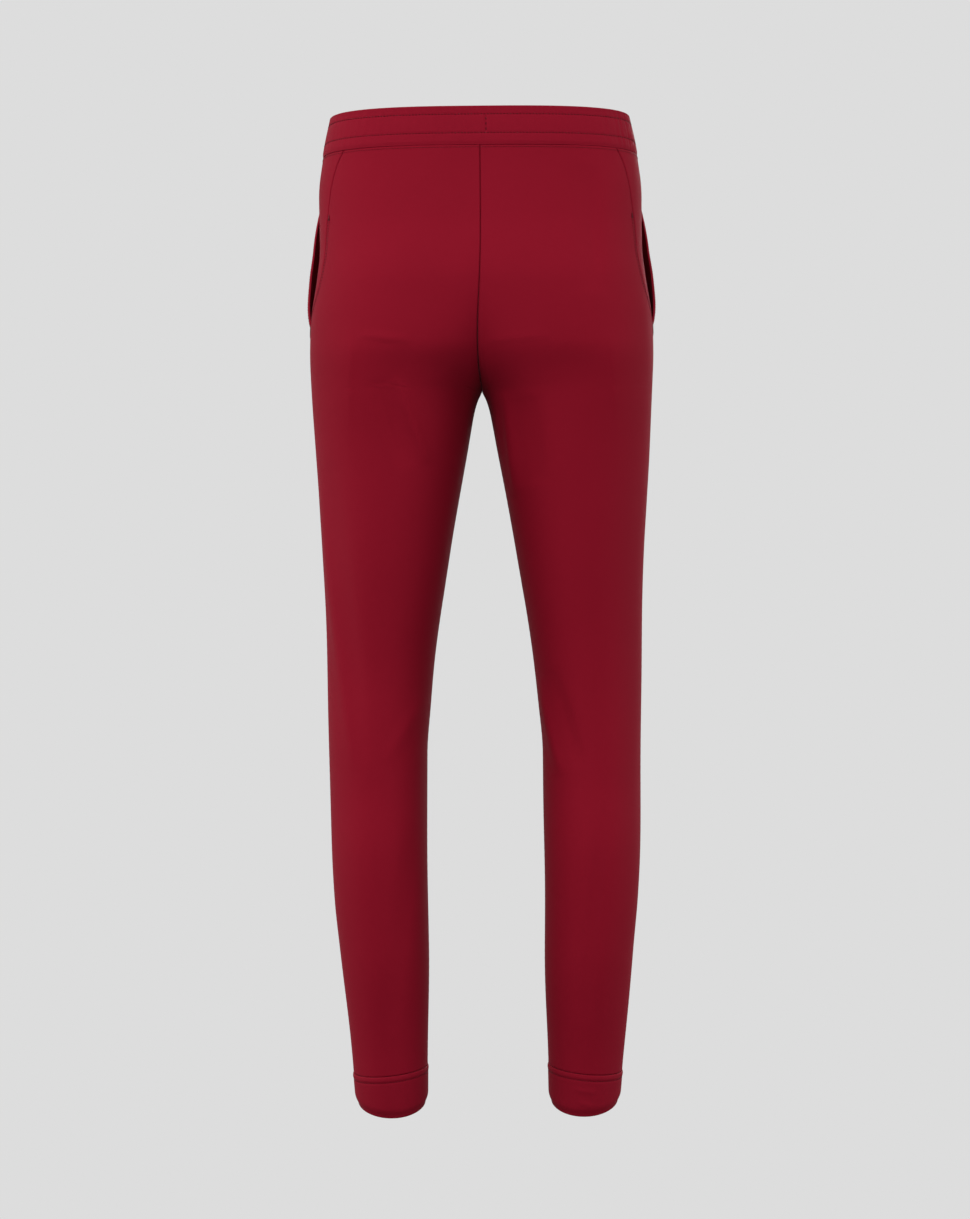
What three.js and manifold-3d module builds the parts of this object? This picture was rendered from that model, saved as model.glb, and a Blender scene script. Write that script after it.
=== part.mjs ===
// Slim jersey training pants: elastic waistband, hip yokes with slanted side pockets, tapered legs
// and plain cuffs. Millimetres, +Z up, +Y towards the wearer's front, +X towards the wearer's right.
// The origin is the middle of the waist opening.
//
// The cloth follows one body surface. At each level a leg (or, above the crotch, half the seat) is
// a superellipse, cut off at the centre plane. A "turn" is the angle round it in degrees: 0 faces the
// centre plane, 90 the back, 180 the outside and 270 the front.

import * as THREE from "three";
import { ParametricGeometry } from "three/addons/geometries/ParametricGeometry.js";
import { mergeVertices } from "three/addons/utils/BufferGeometryUtils.js";
import Module from "manifold-3d";

const wasm = await Module();
wasm.setup();

// ---- driving dimensions -------------------------------------------------------------------------

const rise = 272; // waist rim to crotch
const inseam = 722; // crotch to the back of the hem
const waistHalfWidth = 148.5;
const hipHalfWidth = 171;
const waistTilt = 0.06; // the rim drops this much per mm towards the front

const ply = 1.6; // jersey panel
const gap = 0.3; // between pieces that are sewn edge to edge
const slack = 0.5; // between pieces whose faces lie along each other

const waistbandHeight = 38.5;
const casingPly = 1.2;
const elasticPly = 1.4;
const elasticSlack = 0.75;
const elasticHeight = 31.5;
const eyeletSpread = 36; // between the two drawcord eyelets
const eyeletHoleRadius = 3;
const eyeletDrop = 17; // rim to eyelet centre, between the two rows of stitching

const mouthDrop = 11.5; // the waistband's lower edge to the top of the pocket mouth
const mouthLength = 157; // top to bottom end
const mouthGape = 8; // how far the front edge stands off
const mouthEnd = 8; // sewn-down length at each end of the mouth
const mouthSweep = 1.6; // above 1 the mouth turns back sooner
const mouthFullness = 1.4; // above 1 it gapes most below its middle
const facingTurn = 17; // how far the yoke runs on under the front panel
const facingInset = 3.4;
const bagPly = 1.0;
const bagDepth = 13; // thickness of the open bag
const bagTurn = 42; // from the facing to the bag's front edge
const bagBottom = 268; // rim to the bottom of the bag
const tack = { length: 10, width: 2.2, height: 0.9 };

const hipAxis = 356; // rim down to the line that the leg swings on
const kneeAxis = 582; // rim down to the line that the knee bends on
const hipForward = 40; // degrees
const hipBack = 15;
const kneeBend = 75;
const hipLap = 10; // how far the leg's top end runs up inside the seat
const kneeLap = 9;
const lapGap = 3; // running clearance between the lapped tubes
const lapEase = 55; // length over which a lapped end returns to the body surface
const rimTuck = 3.5; // how much further in its rim stands

const cuffPly = 2.4; // doubled band
const cuffSeam = 946; // rim to the middle of the seam above the cuff
const cuffSeamTilt = 0.11; // seam rise per mm towards the front
const cuffSeamLean = 0.1; // seam rise per mm towards the other leg
const hemRise = 25; // how much higher the hem is in front than behind
const hemSweep = 1.2; // above 1 the hem rises fastest near its back
const hemTuck = 3; // how far the hem's fold draws in

const courseHeight = 21; // rows of a seat panel stand about this far apart

// ---- body surface -------------------------------------------------------------------------------

const length = rise + inseam;
const mouthTop = waistbandHeight + mouthDrop;
const mouthBottom = mouthTop + mouthLength;
const upper = (share) => share * rise;
const lower = (share) => rise + share * inseam;

// Depths run down from the rim. Each row is [depth, value], and the value runs smoothly between.
const outerProfile = [
  [upper(0), waistHalfWidth],
  [upper(0.145), waistHalfWidth + 8],
  [upper(0.29), hipHalfWidth - 10],
  [upper(0.475), hipHalfWidth - 9.5],
  [upper(0.59), hipHalfWidth - 6],
  [upper(0.73), hipHalfWidth - 1],
  [upper(0.86), hipHalfWidth],
  [lower(0), hipHalfWidth - 1.2],
  [lower(0.08), hipHalfWidth - 4],
  [lower(0.15), hipHalfWidth - 7.5],
  [lower(0.22), hipHalfWidth - 10.5],
  [lower(0.36), hipHalfWidth - 14],
  [lower(0.5), hipHalfWidth - 15.5],
  [lower(0.63), hipHalfWidth - 17.5],
  [lower(0.7), hipHalfWidth - 20],
  [lower(0.77), hipHalfWidth - 25],
  [lower(0.91), hipHalfWidth - 35.5],
  [lower(1), hipHalfWidth - 41],
];
const innerProfile = [
  [lower(0), ply / 2 + gap],
  [lower(0.011), 4.5],
  [lower(0.024), 7.5],
  [lower(0.052), 11.5],
  [lower(0.08), 15],
  [lower(0.15), 24],
  [lower(0.22), 33],
  [lower(0.36), 49],
  [lower(0.43), 54],
  [lower(0.5), 58],
  [lower(0.63), 58.5],
  [lower(0.77), 58],
  [lower(0.91), 60],
  [lower(1), 61.5],
];
const backProfile = [
  [upper(0), 100],
  [upper(0.15), 104],
  [upper(0.36), 113],
  [upper(0.62), 127],
  [upper(0.83), 126],
  [lower(0), 113],
  [lower(0.08), 99],
  [lower(0.22), 84],
  [lower(0.42), 67],
  [lower(0.54), 69],
  [lower(0.64), 75],
  [lower(0.77), 70],
  [lower(0.92), 52],
  [lower(1), 44],
];
const frontProfile = [
  [upper(0), 98],
  [upper(0.15), 101],
  [upper(0.36), 103],
  [upper(0.62), 103],
  [lower(0), 98],
  [lower(0.08), 95],
  [lower(0.22), 87],
  [lower(0.42), 76],
  [lower(0.54), 68],
  [lower(0.64), 60],
  [lower(0.77), 51],
  [lower(0.92), 42],
  [lower(1), 38],
];
const boxinessProfile = [
  [upper(0), 2.9],
  [upper(0.5), 2.6],
  [lower(0), 2.25],
  [lower(0.3), 2.05],
  [lower(1), 2.05],
];
// The seam that joins the back panel to the yoke, and below the pocket to the front panel.
const sideSeamProfile = [
  [upper(0.11), 142.7],
  [upper(0.18), 148.7],
  [upper(0.24), 151.2],
  [upper(0.32), 153.7],
  [upper(0.42), 156.8],
  [upper(0.54), 158.5],
  [upper(0.62), 161],
  [upper(0.69), 167],
  [upper(0.76), 175],
  [upper(0.88), 181],
  [lower(1), 181],
];

// A value along a profile: a cubic between rows whose slopes never overshoot.
function along(profile, depth) {
  const last = profile.length - 1;
  if (depth <= profile[0][0]) return profile[0][1];
  if (depth >= profile[last][0]) return profile[last][1];
  let i = 0;
  while (depth > profile[i + 1][0]) i++;
  const chord = (k) => (profile[k + 1][1] - profile[k][1]) / (profile[k + 1][0] - profile[k][0]);
  const slope = (k) => {
    if (k === 0) return chord(0);
    if (k === last) return chord(last - 1);
    const before = chord(k - 1);
    const after = chord(k);
    return before * after <= 0 ? 0 : (2 * before * after) / (before + after);
  };
  const span = profile[i + 1][0] - profile[i][0];
  const t = (depth - profile[i][0]) / span;
  const [a, b] = [profile[i][1], profile[i + 1][1]];
  return (
    a * (1 + 2 * t) * (1 - t) ** 2 +
    b * t * t * (3 - 2 * t) +
    span * (slope(i) * t * (1 - t) ** 2 - slope(i + 1) * t * t * (1 - t))
  );
}

const clamp = THREE.MathUtils.clamp;
const lerp = THREE.MathUtils.lerp;
const ease = (t) => THREE.MathUtils.smoothstep(t, 0, 1);
const radians = THREE.MathUtils.degToRad;

// Centre, half width, half depth and boxiness of the section at a depth.
function sectionAt(depth) {
  const outer = along(outerProfile, depth);
  const parting = clamp((depth - waistbandHeight) / (rise - waistbandHeight), 0, 1);
  const seatInner = lerp(-outer, innerProfile[0][1], parting ** 1.2);
  const inner = depth < rise ? seatInner : along(innerProfile, depth);
  const back = along(backProfile, depth);
  const front = along(frontProfile, depth);
  return {
    centre: (outer + inner) / 2,
    halfWidth: (outer - inner) / 2,
    middle: (front - back) / 2,
    halfDepth: (front + back) / 2,
    power: along(boxinessProfile, depth),
  };
}

// The turn at which the section reaches the centre plane: 0 once the leg is clear of it.
function centreTurn(depth) {
  const s = sectionAt(depth);
  const reach = (s.centre - gap / 2) / s.halfWidth;
  if (reach >= 1) return 0;
  const cosine = Math.sign(reach) * Math.abs(reach) ** (s.power / 2);
  return THREE.MathUtils.radToDeg(Math.acos(cosine));
}

// How far (x, y) lies outside the section at a depth: negative inside, 0 on the cloth.
function outside(x, y, depth) {
  const s = sectionAt(depth);
  return (
    Math.abs((x - s.centre) / s.halfWidth) ** s.power +
    Math.abs((y - s.middle) / s.halfDepth) ** s.power -
    1
  );
}

// A point of the right side's cloth, off the surface by a distance along its normal.
function clothPoint(turn, depth, off = 0) {
  const s = sectionAt(depth);
  const angle = radians(turn);
  const stretch = (value) => Math.sign(value) * Math.abs(value) ** (2 / s.power);
  const x = s.centre - s.halfWidth * stretch(Math.cos(angle));
  const y = s.middle - s.halfDepth * stretch(Math.sin(angle));
  const step = 0.05;
  const normal = new THREE.Vector3(
    outside(x + step, y, depth) - outside(x - step, y, depth),
    outside(x, y + step, depth) - outside(x, y - step, depth),
    outside(x, y, depth - step) - outside(x, y, depth + step),
  ).normalize();
  const point = new THREE.Vector3(x, y, -depth).addScaledVector(normal, off);
  if (depth < rise) point.x = Math.max(point.x, gap / 2);
  return point;
}

// ---- building -----------------------------------------------------------------------------------

// Drops everything but position, joins equal vertices and removes the faces that closed to a line.
function weld(geometry) {
  geometry.deleteAttribute("normal");
  geometry.deleteAttribute("uv");
  const welded = mergeVertices(geometry, 1e-3);
  const corners = [...welded.index.array];
  const kept = [];
  for (let i = 0; i < corners.length; i += 3) {
    const face = corners.slice(i, i + 3);
    if (new Set(face).size === 3) kept.push(...face);
  }
  welded.setIndex(kept);
  welded.computeVertexNormals();
  return welded;
}

// A sheet of cloth with real thickness: place(s, row, off) gives its points, s running 0 to 1 across
// it and row 0 to rows down it. Its two ends close on their middle line.
function sheetGeometry(place, columns, rows, thickness) {
  const slices = 2 * columns + 2;
  const stacks = rows + 2;
  return weld(
    new ParametricGeometry(
      (u, v, target) => {
        const slice = (slices - Math.round(u * slices)) % slices;
        const stack = Math.round(v * stacks);
        const row = clamp(stack - 1, 0, rows);
        const front = slice <= columns;
        const s = (front ? slice : 2 * columns + 1 - slice) / columns;
        const off = stack === 0 || stack === stacks ? 0 : (front ? 1 : -1) * (thickness / 2);
        target.copy(place(s, row, off));
      },
      slices,
      stacks,
    ),
  );
}

// A closed ring: a profile of [off, height] pairs carried once round. place(t, off, height) gives its
// points, t running 0 to 1 round the ring.
function ringGeometry(place, profile, around) {
  return weld(
    new ParametricGeometry(
      (u, v, target) => {
        const corner = (profile.length - Math.round(u * profile.length)) % profile.length;
        const [off, height] = profile[corner];
        target.copy(place((Math.round(v * around) % around) / around, off, height));
      },
      profile.length,
      around,
    ),
  );
}

// The depth of each row of a sheet. Guides are [depth as a function of s, rows down to the next].
function courses(guides) {
  const made = [];
  guides.forEach(([depth, rows], i) => {
    if (i === guides.length - 1) made.push(depth);
    else
      for (let k = 0; k < rows; k++)
        made.push((s) => lerp(depth(s), guides[i + 1][0](s), k / rows));
  });
  return made;
}

function solidOf(geometry) {
  const mesh = new wasm.Mesh({
    numProp: 3,
    vertProperties: new Float32Array(geometry.attributes.position.array),
    triVerts: new Uint32Array(geometry.index.array),
  });
  return new wasm.Manifold(mesh);
}

function geometryOf(solid) {
  const mesh = solid.getMesh();
  const geometry = new THREE.BufferGeometry();
  geometry.setAttribute("position", new THREE.BufferAttribute(mesh.vertProperties, 3));
  geometry.setIndex(new THREE.BufferAttribute(mesh.triVerts, 1));
  geometry.computeVertexNormals();
  return geometry;
}

const finish = (color, roughness) =>
  new THREE.MeshStandardMaterial({ color, roughness, metalness: 0 });
const jersey = finish(0x7c1220, 0.75);
const band = finish(0x861726, 0.75);
const netting = finish(0x4a0813, 0.85);
const thread = finish(0x5e0d1a, 0.6);
const rubber = finish(0xd9d4cc, 0.8);

const pants = new THREE.Group();
const sides = { right: new THREE.Group(), left: new THREE.Group() };
sides.left.scale.x = -1;
pants.add(sides.right, sides.left);

function addPair(name, geometry, material) {
  for (const [side, group] of Object.entries(sides)) {
    const piece = new THREE.Mesh(geometry, material);
    piece.name = `${side}_${name}`;
    group.add(piece);
  }
}

function add(name, geometry, material) {
  const piece = new THREE.Mesh(geometry, material);
  piece.name = name;
  pants.add(piece);
}

// ---- waistband ----------------------------------------------------------------------------------

// The rim's depth where the cloth stands at y: the waistband and the seam below it tilt together.
const rimDepth = (y) => waistTilt * y;

// The waist is one oval, so a point goes right round it: t is 0 at the middle of the back.
function waistPoint(t, off, height) {
  const left = t > 0.5;
  const turn = 90 + 360 * (left ? 1 - t : t);
  const flat = clothPoint(turn, 0);
  const point = clothPoint(turn, rimDepth(flat.y) - height, off);
  const onCentre = t === 0 || t === 0.5;
  if (onCentre) point.x = 0;
  return left ? point.setX(-point.x) : point;
}

const slot = elasticPly + 2 * elasticSlack;
const casingOuter = 1.4; // the casing stands this far off the body surface
const casingInner = casingOuter - 2 * casingPly - slot;
const round = casingPly * 0.8;
const casingProfile = [
  [casingOuter, -waistbandHeight],
  [casingOuter, -waistbandHeight / 2],
  [casingOuter, -round],
  [casingOuter - round, 0],
  [casingInner + round, 0],
  [casingInner, -round],
  [casingInner, -waistbandHeight / 2],
  [casingInner, -waistbandHeight],
  [casingInner + casingPly, -waistbandHeight],
  [casingInner + casingPly, -waistbandHeight / 2],
  [casingInner + casingPly, -casingPly - slack],
  [casingOuter - casingPly, -casingPly - slack],
  [casingOuter - casingPly, -waistbandHeight / 2],
  [casingOuter - casingPly, -waistbandHeight],
];
const waistFacets = 56;

const elasticTop = -(waistbandHeight - elasticHeight) / 2 - casingPly / 2;
const elasticOuter = casingOuter - casingPly - elasticSlack;
const elasticProfile = [
  [elasticOuter, elasticTop],
  [elasticOuter - elasticPly, elasticTop],
  [elasticOuter - elasticPly, elasticTop - elasticHeight / 2],
  [elasticOuter - elasticPly, elasticTop - elasticHeight],
  [elasticOuter, elasticTop - elasticHeight],
  [elasticOuter, elasticTop - elasticHeight / 2],
];

// The eyelets let a drawcord out of the casing's inner ply at the front. Their frame stands on that
// ply's inner face with its Y axis along the cloth's normal.
function eyeletFrame() {
  const s = sectionAt(eyeletDrop);
  const share = (eyeletSpread / 2 / s.halfWidth) ** (s.power / 2);
  const turn = 270 - THREE.MathUtils.radToDeg(Math.asin(share));
  const depth = eyeletDrop + rimDepth(s.halfDepth);
  const face = clothPoint(turn, depth, casingInner);
  const normal = clothPoint(turn, depth, casingInner + 1).sub(face);
  const tilt = new THREE.Quaternion().setFromUnitVectors(new THREE.Vector3(0, 1, 0), normal);
  return new THREE.Matrix4().makeRotationFromQuaternion(tilt).setPosition(face);
}

function eyeletGeometry() {
  const barrel = eyeletHoleRadius - gap;
  const bore = barrel - 0.7;
  const flange = eyeletHoleRadius + 1.6;
  const seat = -slack;
  const sunk = casingPly - gap;
  const profile = [
    [bore, seat - 0.6],
    [flange, seat - 0.6],
    [flange, seat],
    [barrel, seat],
    [barrel, sunk],
    [bore, sunk],
    [bore, seat - 0.6],
  ];
  return new THREE.LatheGeometry(
    profile.map(([r, y]) => new THREE.Vector2(r, y)),
    20,
  );
}

function buildWaistband() {
  let casing = solidOf(ringGeometry(waistPoint, casingProfile, waistFacets));
  const frame = eyeletFrame();
  const hole = new THREE.CylinderGeometry(eyeletHoleRadius, eyeletHoleRadius, 4 * casingPly, 20);
  const cutter = weld(hole.translate(0, -casingPly / 2, 0).applyMatrix4(frame));
  casing = casing.subtract(solidOf(cutter));
  casing = casing.subtract(solidOf(cutter).mirror([1, 0, 0]));
  add("waistband_casing", geometryOf(casing), band);
  add("waistband_elastic", ringGeometry(waistPoint, elasticProfile, waistFacets), rubber);
  addPair("eyelet", weld(eyeletGeometry().applyMatrix4(frame)), thread);
}

// ---- seat: from the waistband to the top of the legs ------------------------------------------------

// A panel runs between two turns, each a function of depth, and off gives how far it stands out.
function panelGeometry({ from, to, guides, columns, off = () => 0, thickness = ply }) {
  const depths = courses(guides);
  const place = (s, row, side) => {
    const depth = depths[row](s);
    const turn = lerp(from(depth), to(depth), s);
    return clothPoint(turn, depth, off(depth, turn) + side);
  };
  return sheetGeometry(place, columns, depths.length - 1, thickness);
}

// Half the seam gap, as a turn at that depth.
const seamTurn = (depth) =>
  THREE.MathUtils.radToDeg(gap / 2 / Math.min(sectionAt(depth).halfDepth, sectionAt(depth).halfWidth));
const sideSeam = (depth) => along(sideSeamProfile, depth);
const backEdge = (depth) => Math.max(centreTurn(depth), seamTurn(depth));
const frontEdge = (depth) => 360 - backEdge(depth);

// The pocket mouth slants from the front of the hip back to the side seam.
const mouthShare = (depth) => clamp((depth - mouthTop) / (mouthBottom - mouthTop), 0, 1);
const mouthFrontTurn = 207;
const yokeTip = 2.4; // turn left between seam and mouth at the bottom
const mouthLine = (depth) => {
  const end = sideSeam(mouthBottom) + yokeTip;
  const share = clamp((depth - waistbandHeight) / (mouthBottom - waistbandHeight), 0, 1);
  return lerp(mouthFrontTurn, end, 1 - (1 - share) ** mouthSweep);
};
const openness = (depth) => Math.sin(Math.PI * mouthShare(depth) ** mouthFullness);
const gapeReach = 30; // turn over which the gape dies away
const gape = (depth, turn) => {
  const away = clamp((turn - mouthLine(depth)) / gapeReach, 0, 1);
  return mouthGape * openness(depth) ** 0.8 * (1 - ease(away));
};
const slantSeam = 1.7; // the slanted mouth needs a wider gap along a level row
const frontSideEdge = (depth) => {
  if (depth <= mouthBottom) return mouthLine(depth) + slantSeam * seamTurn(depth);
  return sideSeam(depth) + seamTurn(depth);
};

// The lower end of a tube that another swings in: it ends above the axis, and higher the further the
// cloth stands from it, so that the swinging tube clears it at either end of its range.
const mitre = (degrees) => Math.tan(radians(degrees / 2));
const edgeClearance = 4;
const hip = { axis: hipAxis, forward: hipForward, backward: hipBack, lap: hipLap };
const knee = { axis: kneeAxis, forward: 0, backward: kneeBend, lap: kneeLap };

function edgeDepth(joint, turn) {
  const y = clothPoint(turn, joint.axis).y - sectionAt(joint.axis).middle;
  const lift = y > 0 ? y * mitre(joint.forward) : -y * mitre(joint.backward);
  return joint.axis - lift - edgeClearance;
}

const lowerEdge = (joint, from, to) => (s) =>
  edgeDepth(joint, lerp(from(joint.axis), to(joint.axis), s));
const upperRim = (joint, from, to) => (s) => lowerEdge(joint, from, to)(s) - joint.lap;

// The swinging tube's end stands clear of the fixed tube's inner face, and draws in towards its rim.
function lapOff(joint, depth, turn) {
  const below = depth - edgeDepth(joint, turn);
  const clear = (ply + lapGap) * (1 - ease((below - 4) / lapEase));
  return -clear - rimTuck * clamp(-below / joint.lap, 0, 1);
}

const waistSeam = (from, to) => (s) => {
  const turn = lerp(from(waistbandHeight), to(waistbandHeight), s);
  return rimDepth(clothPoint(turn, waistbandHeight).y) + waistbandHeight + slack;
};
const level = (depth) => () => depth;
const coursesBetween = (from, to) => Math.max(1, Math.round((to - from) / courseHeight));

// Rows that the yoke shares with its neighbours, so that their edges keep the same gap.
const mouthGuides = [
  [level(mouthTop), 1],
  [level(mouthTop + mouthEnd), 1],
  [level(mouthTop + 3 * mouthEnd), coursesBetween(mouthTop + 3 * mouthEnd, mouthBottom - 3 * mouthEnd)],
  [level(mouthBottom - 3 * mouthEnd), 1],
  [level(mouthBottom - mouthEnd), 1],
  [level(mouthBottom - 1), 1],
];

function buildSeat() {
  const seatGuides = (from, to) => [
    [waistSeam(from, to), 1],
    ...mouthGuides,
    [level(mouthBottom + 3), coursesBetween(mouthBottom + 3, rise - 20)],
    [level(rise - 20), 3],
    [level(rise + 1), 2],
    [lowerEdge(hip, from, to), 0],
  ];
  const backTo = (depth) => sideSeam(depth) - seamTurn(depth);
  addPair(
    "back_seat_panel",
    panelGeometry({
      from: backEdge,
      to: backTo,
      guides: seatGuides(backEdge, backTo),
      columns: 10,
    }),
    jersey,
  );
  addPair(
    "front_seat_panel",
    panelGeometry({
      from: frontSideEdge,
      to: frontEdge,
      guides: seatGuides(frontSideEdge, frontEdge),
      columns: 11,
      off: gape,
    }),
    jersey,
  );
}

// ---- side pockets -------------------------------------------------------------------------------

// The yoke fills the hip between seam and mouth, then steps in and runs on under the front panel.
// Both the step and the facing start clear of the mouth's ends, where the front panel is sewn down.
function buildYoke() {
  const inMouth = (depth) => Math.min(depth - mouthTop, mouthBottom - depth) / mouthEnd;
  const facing = (depth) => facingTurn * clamp((inMouth(depth) - 1) / 2, 0, 1);
  const from = (depth) => sideSeam(depth) + seamTurn(depth);
  const to = (depth) => mouthLine(depth) + facing(depth) - slantSeam * seamTurn(depth);
  const stepTurn = 4;
  const off = (depth, turn) => {
    const under = ease((turn - mouthLine(depth) + stepTurn) / stepTurn);
    return -facingInset * under * clamp(inMouth(depth), 0, 1);
  };
  const guides = [[waistSeam(from, mouthLine), 1], ...mouthGuides];
  addPair("hip_yoke", panelGeometry({ from, to, guides, columns: 9, off }), jersey);
}

// The bag is a flat pouch behind the front panel, open along the edge that meets the facing.
function buildBag() {
  const start = (depth) => mouthLine(depth) + facingTurn + 1.5;
  const top = mouthTop + 10;
  const outerInset = ply / 2 + 3 * slack;
  const columns = 7;
  const rows = 10;
  // wall is 0 for the outer skin and one ply for the cavity, which runs out past the open edge.
  const pouch = (wall) => {
    const place = (s, row, side) => {
      const depth = lerp(top + wall, bagBottom - wall, row / rows);
      const front = start(depth) + bagTurn * (1 - 0.25 * (row / rows)) - (wall ? 1.2 : 0);
      const turn = lerp(start(depth) - (wall ? 4 : 0), front, s);
      const full = Math.min(1, 3 * (1 - s)) * Math.min(1, 3 * (1 - row / rows));
      const thick = lerp(2 * bagPly + 0.8, bagDepth, ease(full) ** 0.5);
      const inset = side > 0 ? outerInset + wall : outerInset + thick - wall;
      return clothPoint(turn, depth, -inset);
    };
    return solidOf(sheetGeometry(place, columns, rows, 2));
  };
  addPair("pocket_bag", geometryOf(pouch(0).subtract(pouch(bagPly))), netting);
}

// Dense stitching that locks each end of the mouth, laid across the front panel's edge.
function buildTacks() {
  const place = (depth) => {
    const turn = frontSideEdge(depth) + 2;
    const base = clothPoint(turn, depth, gape(depth, turn));
    const out = clothPoint(turn, depth, gape(depth, turn) + 1).sub(base).normalize();
    const across = clothPoint(turn + 1, depth, gape(depth, turn + 1)).sub(base);
    across.addScaledVector(out, -across.dot(out)).normalize();
    const down = new THREE.Vector3().crossVectors(out, across);
    const centre = base.addScaledVector(out, ply / 2 + 2 * slack + tack.height / 2);
    return new THREE.Matrix4().makeBasis(across, down, out).setPosition(centre);
  };
  const box = new THREE.BoxGeometry(tack.width, tack.length, tack.height);
  addPair("upper_bar_tack", weld(box.clone().applyMatrix4(place(mouthTop - 2))), thread);
  addPair("lower_bar_tack", weld(box.clone().applyMatrix4(place(mouthBottom + 6))), thread);
}

// ---- legs ---------------------------------------------------------------------------------------

// The cuff seam, where the cloth stands at (x, y).
function cuffSeamDepth(turn) {
  const s = sectionAt(cuffSeam);
  const point = clothPoint(turn, cuffSeam);
  return cuffSeam - cuffSeamTilt * (point.y - s.middle) + cuffSeamLean * (point.x - s.centre);
}

function hemDepth(turn) {
  const s = sectionAt(length);
  const point = clothPoint(turn, length);
  const share = clamp((point.y - s.middle) / s.halfDepth / 2 + 0.5, 0, 1);
  return length - hemRise * (1 - (1 - share) ** hemSweep);
}

function buildLegs() {
  const backTo = (depth) => sideSeam(depth) - seamTurn(depth);
  const frontFrom = (depth) => sideSeam(depth) + seamTurn(depth);
  const halves = [
    ["back", backEdge, backTo],
    ["front", frontFrom, frontEdge],
  ];
  for (const [half, from, to] of halves) {
    const below = (joint, distance) => (s) => lowerEdge(joint, from, to)(s) + distance;
    const legPanel = (joint, end, rows) =>
      panelGeometry({
        from,
        to,
        columns: 9,
        off: (depth, turn) => lapOff(joint, depth, turn),
        guides: [
          [upperRim(joint, from, to), 1],
          [lowerEdge(joint, from, to), 1],
          [below(joint, lapEase / 3), 3],
          [below(joint, lapEase + 5), rows],
          [end, 0],
        ],
      });
    const seam = (s) => cuffSeamDepth(lerp(from(cuffSeam), to(cuffSeam), s)) - slack;
    addPair(`${half}_thigh_panel`, legPanel(hip, lowerEdge(knee, from, to), 4), jersey);
    addPair(`${half}_shin_panel`, legPanel(knee, seam, 8), jersey);
  }
}

// The cuff is one doubled band that folds at the hem.
function buildCuff() {
  const facets = 36;
  const place = (t, off, share) => {
    const turn = 360 * t;
    const depth = lerp(hemDepth(turn), cuffSeamDepth(turn), share);
    const tuck = hemTuck * (1 - ease(3 * share)) ** 2;
    return clothPoint(turn, depth, off - tuck);
  };
  const half = cuffPly / 2;
  const profile = [
    [half * 0.6, 0],
    [half, 0.12],
    [half, 0.35],
    [half, 0.7],
    [half, 1],
    [-half, 1],
    [-half, 0.7],
    [-half, 0.35],
    [-half, 0.12],
    [-half * 0.6, 0],
  ];
  addPair("cuff", ringGeometry(place, profile, facets), band);
}

buildWaistband();
buildSeat();
buildYoke();
buildBag();
buildTacks();
buildLegs();
buildCuff();

export default pants;
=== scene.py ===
"""Slim jersey training pants on an unseen form: elastic waistband, hip yokes with slanted side
pockets, tapered legs and plain doubled cuffs. Lengths are millimetres until a mesh is made.

A depth runs down from the waist rim. An angle runs round one leg in radians: 0 faces the other
leg, a quarter turn the back, a half turn the outside, three quarters the front."""

import math

import bpy
import numpy as np
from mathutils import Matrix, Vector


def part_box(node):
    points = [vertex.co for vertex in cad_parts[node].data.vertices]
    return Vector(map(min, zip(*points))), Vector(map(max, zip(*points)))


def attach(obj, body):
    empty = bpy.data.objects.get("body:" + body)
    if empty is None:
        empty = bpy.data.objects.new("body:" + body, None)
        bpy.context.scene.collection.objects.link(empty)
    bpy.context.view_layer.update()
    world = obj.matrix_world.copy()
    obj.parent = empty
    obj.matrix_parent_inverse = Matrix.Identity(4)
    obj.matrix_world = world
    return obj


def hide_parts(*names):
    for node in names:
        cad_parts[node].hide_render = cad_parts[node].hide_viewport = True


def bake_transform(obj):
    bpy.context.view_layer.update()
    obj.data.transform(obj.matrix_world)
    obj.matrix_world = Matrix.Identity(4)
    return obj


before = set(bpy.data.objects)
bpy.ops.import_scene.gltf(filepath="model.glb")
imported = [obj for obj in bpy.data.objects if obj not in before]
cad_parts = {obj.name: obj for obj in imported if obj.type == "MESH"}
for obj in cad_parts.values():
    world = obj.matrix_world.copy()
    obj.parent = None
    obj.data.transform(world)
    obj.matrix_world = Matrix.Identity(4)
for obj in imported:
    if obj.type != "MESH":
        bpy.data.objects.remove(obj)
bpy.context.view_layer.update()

# ---- waistband ------------------------------------------------------------------------------
# A tube of doubled jersey folded over a flat elastic and held by two rows of stitching. It is
# gathered a little by the elastic and sewn to the top of the panels.

RISE = 272.0
LENGTH = 994.0
BAND_HEIGHT = 38.5
BAND_TILT = 0.06
BAND_OUT = 1.25
BAND_IN = -3.9
BAND_PLY = 1.0
BAND_CURVE = 700
BAND_ROWS = (8.5, 27.0)
TUCK_ANGLE = math.pi / 2 + 0.04
HIP = 171.0
SIDES = (("right", 1), ("left", -1))


def profile(above, below):
    """Rows of depth and value, from shares of the rise above the crotch and of the inseam below."""
    rows = [(share * RISE, value) for share, value in above]
    return rows + [(RISE + share * (LENGTH - RISE), value) for share, value in below]


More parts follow.
